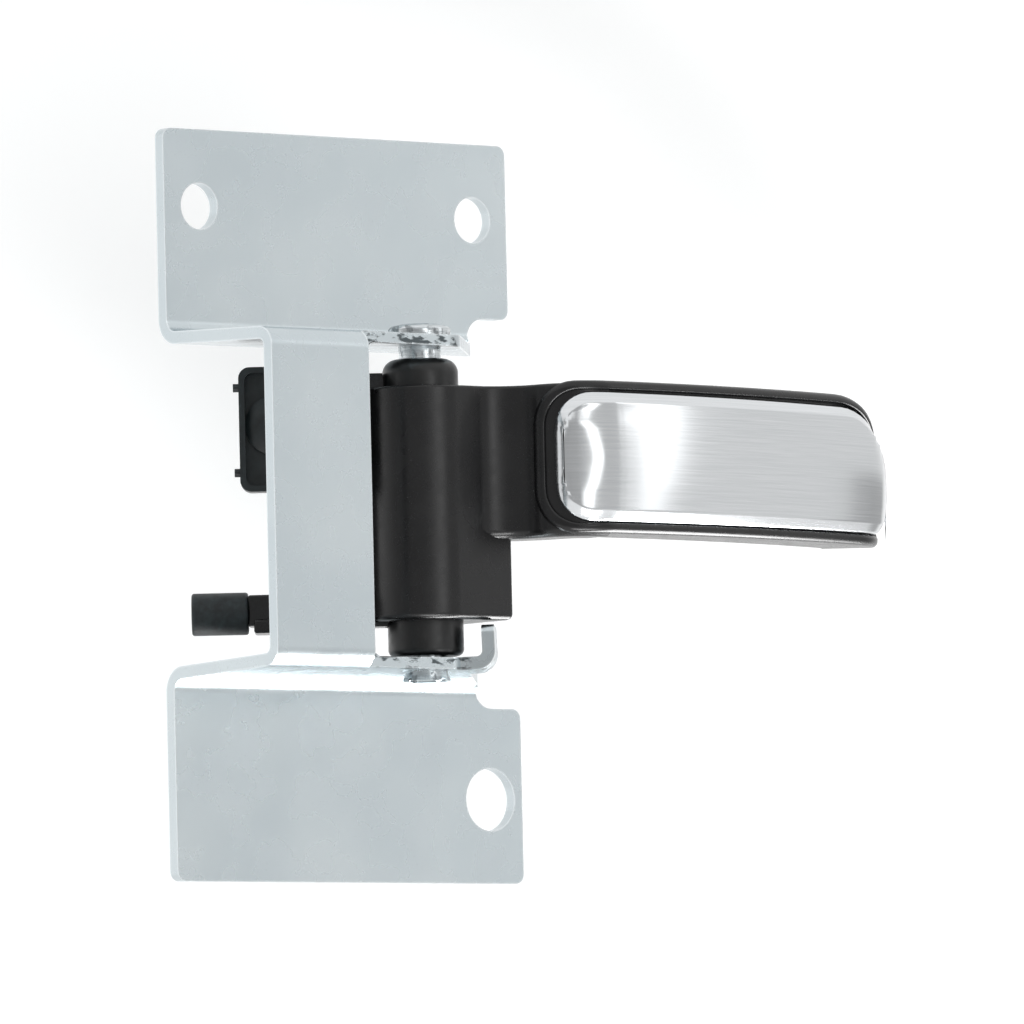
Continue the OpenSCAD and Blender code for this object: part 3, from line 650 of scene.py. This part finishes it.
def planCurve(plan):
    # one Bezier path through the moves, in arcs of at most 15 degrees
    at, turned = plan["start"].copy(), 0.0
    knots = [[at.copy(), at.copy(), at.copy()]]
    for size, turn in plan["moves"]:
        steps = max(1, math.ceil(abs(turn) / 15))
        for step in range(steps):
            ahead = Vector((math.cos(turned), math.sin(turned), 0.0))
            if turn:
                share = math.radians(turn) / steps
                inward = Vector((-ahead.y, ahead.x, 0.0)) * math.copysign(size, turn)
                centre = at + inward
                turned += share
                ahead2 = Vector((math.cos(turned), math.sin(turned), 0.0))
                nextAt = centre - Vector((-ahead2.y, ahead2.x, 0.0)) * math.copysign(size, turn)
                reach = 4 / 3 * math.tan(abs(share) / 4) * size
            else:
                nextAt, ahead2, reach = at + ahead * size, ahead, size / 3
            knots[-1][2] = at + ahead * reach
            knots.append([nextAt - ahead2 * reach, nextAt.copy(), nextAt.copy()])
            at = nextAt
    curve = bpy.data.curves.new("leverPath", "CURVE")
    curve.dimensions, curve.twist_mode, curve.resolution_u = "3D", "Z_UP", 24
    spline = curve.splines.new("BEZIER")
    spline.bezier_points.add(len(knots) - 1)
    for point, (before, place, after) in zip(spline.bezier_points, knots):
        point.handle_left_type = point.handle_right_type = "FREE"
        point.handle_left, point.co, point.handle_right = before * mm, place * mm, after * mm
    path = bpy.data.objects.new("leverPath", curve)
    scene.collection.objects.link(path)
    return path


# lever: flat sizes are run along the path, depth behind the path, and height from the middle of the hat
leverShape = {
    "low": -5.36, "high": 16.3,  # lower and upper side of arm and paddle
    "armStart": 1.0, "armEnd": 24.0, "armDepth": 5.5, "armTopEdge": 0.45, "armLowEdge": 1.35,
    "rimStart": 12.1, "rimProud": 0.45, "rimCorner": 6.6, "rimEdge": 0.95, "rimInnerEdge": 0.35,
    "tipEnd": 90.3, "tipHighCorner": 17.6, "tipLowCorner": 3.8,
    "paddleDepth": 7.65, "cageFront": -3.0, "cageBack": 12.0,  # the cage bows the long sides
    "recessStart": 14.3, "recessCorner": 5.2, "recessDepth": 1.2,
    "rimHigh": 1.35, "rimLow": 1.5, "rimTip": 1.5,  # width of the rim above, below and at the tip
    "lifts": [(0.1, 0.15), (0.25, 0.25), (0.35, 0.32), (0.5, 0.4), (0.56, 0.42), (0.6, 0.42)],
    "slices": (1.5, 56, 24),  # first cut, number of close cuts at the throat and at the tip
    "webBack": 3.45, "flange": 2.2, "ribs": (36.0, 52.5, 69.0), "ribWidth": 1.6,
    "hollowInset": 3.0, "hollowTip": 8.0, "pocketCorner": 1.0,  # pockets between ribs at the back
    "hubHigh": 16.3, "hubLow": -16.7, "hubRadius": 8.0, "hubLowEdge": 0.9, "hubTopEdge": 0.35,
    "blockWidth": 9.8, "blockEdge": 0.9,
    "bore": 3.4, "spigotBore": 4.22, "spigotDepth": 8.0, "bushClear": 5.75,
    "bossReach": 8.8, "bossTurn": 40.5, "bossRadius": 1.6, "bossHeight": 3.4,  # meets the stop tab
    "rearTurn": 140.0, "rearHalf": 2.2, "rearReach": 16.5, "rearHigh": 18.5, "rearLow": -17.3,  # rear arm
    "rearCorner": 2.0, "clipStart": 5.0, "clipReach": 24.4, "clipLow": 3.4,
    "studReach": 20.6, "studRise": 11.3, "studBore": 3.35,
    "stemStart": 8.0, "stemHalf": 2.5, "stemHigh": -12.45, "stemLow": -16.85, "stemEnd": 24.95,
    "stemEdge": 0.35, "ledgeHalf": 3.1, "ledgeShort": 0.8, "ledgeOver": 0.9, "ledgeLow": -17.9,
    "pegHeight": -14.95, "pegRadius": 1.6, "pegEnd": 31.45,
}
sliceSteps = {"tight": 0.42, "face": 1.6, "faceStart": 25.5, "faceCount": 33, "tip": 0.5, "tipStart": 78.2}
beyond = 40  # reach of cutters, past every piece


def atHeight(value):
    return value + midHeight


def flatBar(name, start, end, front, back, low, high):
    return block(name, (start, front, atHeight(low)), (end, back, atHeight(high)))


def pinRod(name, low, high, radius, sides=64, endRadius=None):
    # a rod on the pin's axis, between two heights
    x, y = pinPlace.x, pinPlace.y
    return rod(name, (x, y, atHeight(low)), (x, y, atHeight(high)), radius, sides, endRadius)


def roundCorner(piece, run, height, radius, segments=10):
    roundEdges(piece, lambda m, e: alongAxis(e, 1) and near(m.x, run, 0.01)
               and near(m.z, atHeight(height), 0.01), radius, segments)


def slicePlaces(start, tightCount, tipCount):
    # close cuts round the throat, wide ones along the face, close ones again round the tip
    s = sliceSteps
    return ([start + s["tight"] * k for k in range(tightCount)]
            + [s["faceStart"] + s["face"] * k for k in range(s["faceCount"])]
            + [s["tipStart"] + s["tip"] * k for k in range(tipCount)])


def makePaddle(s):
    low, high, tip, front = s["low"], s["high"], s["tipEnd"], -s["rimProud"]
    paddle = flatBar("leverCasting", s["rimStart"], tip, front, s["paddleDepth"], low, high)
    roundCorner(paddle, tip, high, s["tipHighCorner"], 16)
    roundCorner(paddle, tip, low, s["tipLowCorner"], 8)
    for height in (low, high):
        roundCorner(paddle, s["rimStart"], height, s["rimCorner"])
    roundEdges(paddle, lambda m, e: near(m.y, front, 0.01), s["rimEdge"], 4)
    recessTip, recessLow, recessHigh = tip - s["rimTip"], low + s["rimLow"], high - s["rimHigh"]
    recess = flatBar("recess", s["recessStart"], recessTip, s["cageFront"], s["recessDepth"] - s["rimProud"],
                     recessLow, recessHigh)
    roundCorner(recess, recessTip, recessHigh, s["tipHighCorner"] - s["rimHigh"], 16)
    roundCorner(recess, recessTip, recessLow, s["tipLowCorner"] - s["rimLow"], 8)
    for height in (recessLow, recessHigh):
        roundCorner(recess, s["recessStart"], height, s["recessCorner"])
    cut(paddle, recess)
    roundEdges(paddle, lambda m, e: near(m.y, front, 0.01) and e.calc_face_angle(0) > 1.2,
               s["rimInnerEdge"], 3)
    ends = [s["recessStart"] + s["hollowInset"], *s["ribs"], tip - s["hollowTip"]]
    rib = s["ribWidth"] / 2
    for start, end in zip(ends, ends[1:]):
        pocket = flatBar("pocket", start + rib, end - rib, s["webBack"], s["cageBack"],
                         low + s["flange"], high - s["flange"])
        roundEdges(pocket, lambda m, e: alongAxis(e, 1), s["pocketCorner"], 4)
        cut(paddle, pocket)
    bulge(paddle, (s["rimStart"], s["cageFront"], atHeight(low)), (tip, s["cageBack"], atHeight(high)),
          s["lifts"])
    return paddle


def makeHub(s):
    x, y, r = pinPlace.x, pinPlace.y, s["hubRadius"]
    hub = pinRod("hub", s["hubLow"], s["hubHigh"], r, 96)
    hubBlock = block("hubBlock", (x, y - r, atHeight(s["hubLow"])),
                     (x + s["blockWidth"], y + r, atHeight(s["hubHigh"])))
    roundEdges(hubBlock, lambda m, e: alongAxis(e, 2) and m.x > x + s["blockWidth"] / 2, s["blockEdge"], 4)
    for part in (hub, hubBlock):
        roundEdges(part, lambda m, e: near(m.z, atHeight(s["hubLow"])), s["hubLowEdge"], 5)
        roundEdges(part, lambda m, e: near(m.z, atHeight(s["hubHigh"])), s["hubTopEdge"], 3)
    join(hub, hubBlock)
    return hub


def makeRearArm(s):
    # built as (reach, depth, height), then turned to its place about the pin
    half, side, ledgeSide = s["rearHalf"], s["stemHalf"], s["ledgeHalf"]
    rear = flatBar("rearPlate", 0.0, s["rearReach"], -half, half, s["rearLow"], s["rearHigh"])
    fork = flatBar("clipFork", s["clipStart"], s["clipReach"], -half, half, s["clipLow"], s["rearHigh"])
    for part in (rear, fork):
        roundEdges(part, lambda m, e: alongAxis(e, 1), s["rearCorner"], 6)
    stem = flatBar("stem", s["stemStart"], s["stemEnd"], -side, side, s["stemLow"], s["stemHigh"])
    ledge = flatBar("ledge", s["stemStart"], s["stemEnd"] - s["ledgeShort"], -ledgeSide, ledgeSide,
                    s["ledgeLow"], s["stemLow"] + s["ledgeOver"])
    for part in (stem, ledge):
        roundEdges(part, lambda m, e: True, s["stemEdge"], 3)
    for part in (fork, stem, ledge):
        join(rear, part)
    pegZ, studZ, studX = atHeight(s["pegHeight"]), atHeight(s["studRise"]), s["studReach"]
    join(rear, rod("sleevePeg", (s["stemEnd"] - 1, 0, pegZ), (s["pegEnd"], 0, pegZ), s["pegRadius"], 32))
    cut(rear, rod("studHole", (studX, -9, studZ), (studX, 9, studZ), s["studBore"], 48))
    rear.rotation_euler = (0, 0, math.radians(s["rearTurn"]))
    rear.location = pinPlace * mm
    activate(rear)
    bpy.ops.object.transform_apply()
    return rear


def makeLeverCasting(path, s):
    low, high = s["low"], s["high"]
    casting = makePaddle(s)
    arm = flatBar("arm", s["armStart"], s["armEnd"], 0.0, s["armDepth"], low, high)
    roundEdges(arm, lambda m, e: alongAxis(e, 0) and m.y < 0.01 and m.z < midHeight, s["armLowEdge"], 6)
    roundEdges(arm, lambda m, e: alongAxis(e, 0) and m.y < 0.01 and m.z > atHeight(high - 0.1),
               s["armTopEdge"], 3)
    join(casting, arm)
    sliceAlong(casting, 0, slicePlaces(*s["slices"]))
    useModifier(casting, "CURVE", object=path, deform_axis="POS_X")
    join(casting, makeHub(s))
    join(casting, makeRearArm(s))
    turn = math.radians(s["bossTurn"])
    x, y = pinPlace.x + s["bossReach"] * math.cos(turn), pinPlace.y + s["bossReach"] * math.sin(turn)
    join(casting, rod("stopBoss", (x, y, atHeight(s["hubLow"] - s["bossHeight"])), (x, y, atHeight(0)),
                      s["bossRadius"], 32))
    hubLow, hubHigh, depth = s["hubLow"], s["hubHigh"], s["spigotDepth"]
    for start, end, radius in ((-beyond, beyond, s["bore"]), (hubHigh - depth, beyond, s["spigotBore"]),
                               (-beyond, hubLow + depth, s["spigotBore"]),
                               (hubHigh, beyond, s["bushClear"]), (-beyond, hubLow, s["bushClear"])):
        cut(casting, pinRod("bore", start, end, radius))
    finishPiece(casting, "pull", finishes["lever"], ["lever"])
    return casting


# trim insert: a bright panel with a rolled border and slightly bowed long sides, bent with the paddle
insertShape = {
    "start": 15.7, "end": 87.6, "low": -2.9, "high": 14.35,
    "leftCorner": 5.2, "rightHighCorner": 14.6, "rightLowCorner": 5.4,
    "floor": 0.75, "wallTop": -0.65, "rise": 0.95, "border": 1.55,  # depths, and the sloped border's width
    "crown": 0.4, "crownRows": 6,  # how far the middle stands out, and the rows that share it
    "edge": 0.5, "crease": 0.22, "slices": (16.2, 22, 18), "cageDepth": 3.0,
    "bows": [(0.1, -0.3), (0.0, -0.35), (-0.2, 0.35), (-0.55, 0.7), (-0.35, 0.5), (0.0, 0.1), (0.4, -0.2),
             (0.7, -0.4)],  # mm that the lower and upper side move, along the cage
}


def makeTrimInsert(path, t):
    piece = flatBar("trimInsert", t["start"], t["end"], t["wallTop"], t["floor"], t["low"], t["high"])
    for height in (t["low"], t["high"]):
        roundCorner(piece, t["start"], height, t["leftCorner"])
    roundCorner(piece, t["end"], t["high"], t["rightHighCorner"], 14)
    roundCorner(piece, t["end"], t["low"], t["rightLowCorner"])
    pick(piece, "FACE", lambda m, f: f.normal.y < -0.9)
    bpy.ops.mesh.inset(thickness=t["border"] * mm, depth=t["rise"] * mm)
    bpy.ops.object.mode_set(mode="OBJECT")
    front = t["wallTop"] - t["rise"]
    roundEdges(piece, lambda m, e: near(m.y, front, 0.01), t["crease"], 3)
    roundEdges(piece, lambda m, e: near(m.y, t["wallTop"], 0.01) and e.calc_face_angle(0) > 0.3, t["edge"], 4)
    middle, half = (t["low"] + t["high"]) / 2, (t["high"] - t["low"]) / 2 - t["border"]
    count = t["crownRows"]
    rows = [middle + half * k / count for k in range(1 - count, count)]
    sliceAlong(piece, 2, [atHeight(row) for row in rows])
    for row in rows:
        share = 1 - ((row - middle) / half) ** 2
        pick(piece, "VERT", lambda m, v: near(m.z, atHeight(row)) and m.y < front + 0.05)
        bpy.ops.transform.translate(value=(0, -t["crown"] * share * mm, 0))
        bpy.ops.object.mode_set(mode="OBJECT")
    sliceAlong(piece, 0, slicePlaces(*t["slices"]))
    depth = t["cageDepth"]
    bulge(piece, (t["start"], -depth, atHeight(t["low"])), (t["end"], depth, atHeight(t["high"])), t["bows"])
    useModifier(piece, "CURVE", object=path, deform_axis="POS_X")
    finishPiece(piece, "pull", finishes["insert"], ["insert"], 40)
    return piece


leverPath = planCurve(leverPlan)
makeLeverCasting(leverPath, leverShape)
makeTrimInsert(leverPath, insertShape)
bpy.data.objects.remove(leverPath)
print("lever and insert made")

# bracket: one sheet, modelled as a thin surface folded along its bends, then thickened, pierced and edged
sheetShape = {
    "sheet": 1.8, "left": -31.3, "strapRight": -13.8, "upperRight": 31.3, "lowerRight": 31.9,
    "top": 53.4, "bottom": 52.75, "depth": 25.2, "hatHalf": 23.65, "draft": 2.159,
    "strapBend": 1.9, "plateBend": 2.7, "bendSegments": 12,  # radii of the sheet's middle
    "shelfEnd": 23.5, "upperTongue": 28.3, "lowerTongue": 27.7, "tongueFillet": 3.0, "corner": 1.4,
    "earRadius": 5.8, "earBack": -2.2, "earTop": 27.3, "flareTurn": 47.3,
    "holes": [(-25.0, 42.5, 3.3), (25.0, 42.5, 3.3), (26.0, -40.75, 4.5)],  # x, height and radius
    "pinBore": 3.04, "headRadius": 4.44, "headSeat": 23.76, "headRoom": 2, "edge": 0.2,
    "tabRoot": 4.4, "tabOut": 9.9, "tabStart": 5.0, "tabEnd": 13.0, "tabHeight": 6.3, "tabBend": 1.7,
    "tabCorner": 1.2, "cutRight": 60, "cutBack": 10,  # how far the waste blocks reach
}


def thinPlate(name, low, high, front):
    # a plane primitive upright at one depth, between two corners of (x, height)
    clearSelection()
    middle = Vector(((low[0] + high[0]) / 2, front, (low[1] + high[1]) / 2)) * mm
    bpy.ops.mesh.primitive_plane_add(size=1, location=middle, rotation=(math.pi / 2, 0, 0))
    piece = bpy.context.active_object
    piece.name = name
    piece.scale = ((high[0] - low[0]) * mm, (high[1] - low[1]) * mm, 1)
    bpy.ops.object.transform_apply()
    return piece


def pullEdges(piece, test, move):
    # extrudes the open edges that pass the test by a move in millimetres
    pick(piece, "EDGE", test)
    bpy.ops.mesh.extrude_region_move(TRANSFORM_OT_translate={"value": Vector(move) * mm})
    bpy.ops.object.mode_set(mode="OBJECT")


def moveCorners(piece, test, move):
    pick(piece, "VERT", test)
    bpy.ops.transform.translate(value=Vector(move) * mm)
    bpy.ops.object.mode_set(mode="OBJECT")


def thicken(piece, thickness):
    useModifier(piece, "SOLIDIFY", thickness=thickness * mm, offset=0, use_even_offset=True,
                use_quality_normals=True)


def foldSheet(b):
    # the upper half is folded out, mirrored about the hat's middle, bent and thickened
    half = b["sheet"] / 2
    slope = math.radians(b["draft"])
    strapY, plateY = half - b["depth"], -half
    frontZ = b["hatHalf"] - half / math.cos(slope) + half * math.tan(slope)
    backZ = frontZ + (plateY - strapY) * math.tan(slope)
    piece = thinPlate("sheetBracket", (b["left"], atHeight(backZ)), (b["upperRight"], atHeight(b["top"])),
                      plateY)
    sliceAlong(piece, 0, [b["strapRight"]])
    pullEdges(piece, lambda m, e: near(m.z, atHeight(backZ)), (0, strapY - plateY, frontZ - backZ))
    pullEdges(piece, lambda m, e: near(m.y, strapY) and alongAxis(e, 0) and m.x < b["strapRight"],
              (0, 0, -frontZ))
    pick(piece, "FACE", lambda m, f: True)
    bpy.ops.mesh.duplicate()
    bpy.ops.transform.resize(value=(1, 1, -1), center_override=(0, 0, midHeight * mm))
    bpy.ops.mesh.select_all(action="SELECT")
    bpy.ops.mesh.remove_doubles(threshold=0.002 * mm)
    bpy.ops.mesh.normals_make_consistent(inside=False)
    bpy.ops.object.mode_set(mode="OBJECT")
    moveCorners(piece, lambda m, v: near(m.x, b["upperRight"]) and m.z < midHeight,
                (b["lowerRight"] - b["upperRight"], 0, 0))
    moveCorners(piece, lambda m, v: near(m.z, atHeight(-b["top"])), (0, 0, b["top"] - b["bottom"]))
    turn = math.tan(math.radians(90 - b["draft"]) / 2)
    roundEdges(piece, lambda m, e: alongAxis(e, 0) and near(m.y, strapY) and m.x < b["strapRight"]
               and near(abs(m.z - midHeight), frontZ), b["strapBend"] * turn, b["bendSegments"])
    roundEdges(piece, lambda m, e: alongAxis(e, 0) and near(m.y, plateY)
               and near(abs(m.z - midHeight), backZ), b["plateBend"] * turn, b["bendSegments"])
    thicken(piece, b["sheet"])
    return piece


def cutOutline(piece, b):
    # shelves end short of the plates' corners, and round the pin they end in an ear with a flared side
    right, back = b["cutRight"], b["cutBack"]
    for side, tongue in ((1, b["upperTongue"]), (-1, b["lowerTongue"])):
        waste = block("tongueWaste", (b["shelfEnd"], -beyond, atHeight(min(0, side * tongue))),
                      (right, back, atHeight(max(0, side * tongue))))
        roundEdges(waste, lambda m, e: alongAxis(e, 1) and near(m.x, b["shelfEnd"])
                   and near(m.z, atHeight(side * tongue)), b["tongueFillet"], 8)
        cut(piece, waste)
    x, y, r = pinPlace.x, pinPlace.y, b["earRadius"]
    waste = block("earWaste", (b["strapRight"], -beyond, atHeight(-b["earTop"])),
                  (right, b["earBack"], atHeight(b["earTop"])))
    cut(waste, pinRod("round", -beyond, beyond, r, 96))
    cut(waste, block("left", (b["strapRight"] - 5, y - r, atHeight(-beyond)), (x, back, atHeight(beyond))))
    flare = block("flare", (0, -r, atHeight(-beyond)), (right, 20, atHeight(beyond)))
    flare.rotation_euler, flare.location = (0, 0, math.radians(b["flareTurn"])), (x * mm, y * mm, 0)
    activate(flare)
    bpy.ops.object.transform_apply()
    cut(waste, flare)
    cut(piece, waste)
    for edgeX, heights in ((b["left"], (b["top"], -b["bottom"])),
                           (b["upperRight"], (b["top"], b["upperTongue"])),
                           (b["lowerRight"], (-b["bottom"], -b["lowerTongue"]))):
        roundEdges(piece, lambda m, e: alongAxis(e, 1) and near(m.x, edgeX)
                   and any(near(m.z, atHeight(height)) for height in heights), b["corner"], 6)


def makeStopTab(b):
    # laid flat: it runs out from the pin, then along the flared side, and is folded up
    half, bendAt = b["sheet"] / 2, b["tabOut"] - b["sheet"] / 2
    tab = thinPlate("stopTab", (b["tabRoot"], 0), (bendAt, b["tabEnd"] - b["tabStart"]), 0)
    tab.rotation_euler = (-math.pi / 2, 0, 0)
    tab.location = (0, b["tabStart"] * mm, half * mm)
    activate(tab)
    bpy.ops.object.transform_apply()
    pick(tab, "VERT", lambda m, v: True)
    bpy.ops.transform.resize(value=(1, -1, 1), center_override=(0, b["tabStart"] * mm, 0))
    bpy.ops.object.mode_set(mode="OBJECT")
    pullEdges(tab, lambda m, e: near(m.x, bendAt), (0, 0, b["tabHeight"] - half))
    roundEdges(tab, lambda m, e: alongAxis(e, 1) and near(m.x, bendAt) and near(m.z, half), b["tabBend"], 8)
    thicken(tab, b["sheet"])
    roundEdges(tab, lambda m, e: alongAxis(e, 0) and near(m.z, b["tabHeight"]), b["tabCorner"], 5)
    shelfAtPin = b["hatHalf"] + (b["depth"] + pinPlace.y) * math.tan(math.radians(b["draft"]))
    place = Matrix.Translation(Vector((pinPlace.x, pinPlace.y, atHeight(-shelfAtPin))) * mm)
    tab.matrix_world = (place @ Matrix.Rotation(-math.radians(b["draft"]), 4, "X")
                        @ Matrix.Rotation(-math.radians(90 - b["flareTurn"]), 4, "Z"))
    activate(tab)
    bpy.ops.object.transform_apply()
    return tab


def makeSheetBracket(b):
    piece = foldSheet(b)
    cutOutline(piece, b)
    join(piece, makeStopTab(b))
    for x, z, radius in b["holes"]:
        front, back = -b["cutBack"], b["cutBack"]
        cut(piece, rod("hole", (x, front, atHeight(z)), (x, back, atHeight(z)), radius, 72))
    cut(piece, pinRod("pinBore", -beyond, beyond, b["pinBore"]))
    cut(piece, pinRod("headSeat", b["headSeat"], b["headSeat"] + b["headRoom"], b["headRadius"]))
    useModifier(piece, "BEVEL", width=b["edge"] * mm, segments=2, limit_method="ANGLE",
                angle_limit=math.radians(40))
    finishPiece(piece, "mount", finishes["bracket"], ["bracket"], 35)
    return piece


makeSheetBracket(sheetShape)
print("bracket made")

# pivot pin: a head with a low dome, a shank, and an end flared over the lower ear and staked at four points
pinShape = {
    "radius": 3.0, "top": 23.76, "bottom": -23.925, "headRadius": 4.4, "rimHigh": 1.1, "rimEdge": 0.3,
    "dome": [(0.5, 0.28), (1.2, 0.24), (1.2, 0.1)],  # steps across the head's top: width and rise
    "overlap": 0.5,  # how far the shank reaches into the head
    "flareRadius": 3.45, "flareHigh": 1.2, "flareOver": 0.2, "flareInset": 0.05, "flareEdge": 0.15,
    "hollowRadius": 2.65, "hollowPast": 1.25,  # the hollow's cutter starts this much below the foot
    "stakes": 4, "stakeTurn": 5.0, "stakeRadius": 0.42, "stakeReach": (1.8, 4.2),
}


def makeHeadedPin(p):
    bottom, rim = p["bottom"], p["top"] + p["rimHigh"]
    foot = bottom - p["flareHigh"]
    pin = pinRod("headedPin", bottom, p["top"] + p["overlap"], p["radius"])
    head = pinRod("head", p["top"], rim, p["headRadius"])
    pick(head, "FACE", lambda m, f: f.normal.z > 0.9)
    for width, lift in p["dome"]:
        bpy.ops.mesh.inset(thickness=width * mm, depth=lift * mm)
    bpy.ops.object.mode_set(mode="OBJECT")
    roundEdges(head, lambda m, e: near(m.z, atHeight(rim)) and e.calc_length() < 0.5 * mm, p["rimEdge"], 3)
    join(pin, head)
    flare = pinRod("flare", foot, bottom + p["flareOver"], p["flareRadius"], 64,
                   p["radius"] - p["flareInset"])
    roundEdges(flare, lambda m, e: near(m.z, atHeight(foot)), p["flareEdge"], 3)
    join(pin, flare)
    past = p["hollowPast"]
    cut(pin, pinRod("hollow", bottom - p["flareHigh"] * past, bottom, p["hollowRadius"] * past, 48, 0))
    for index in range(p["stakes"]):
        turn = math.radians(p["stakeTurn"] + 360 / p["stakes"] * index)
        ends = [(pinPlace.x + reach * math.cos(turn), pinPlace.y + reach * math.sin(turn), atHeight(foot))
                for reach in p["stakeReach"]]
        cut(pin, rod("stake", *ends, p["stakeRadius"], 16))
    finishPiece(pin, "mount", finishes["pivot_pin"], ["pivot_pin"], 35)
    return pin


makeHeadedPin(pinShape)
print("pin made")
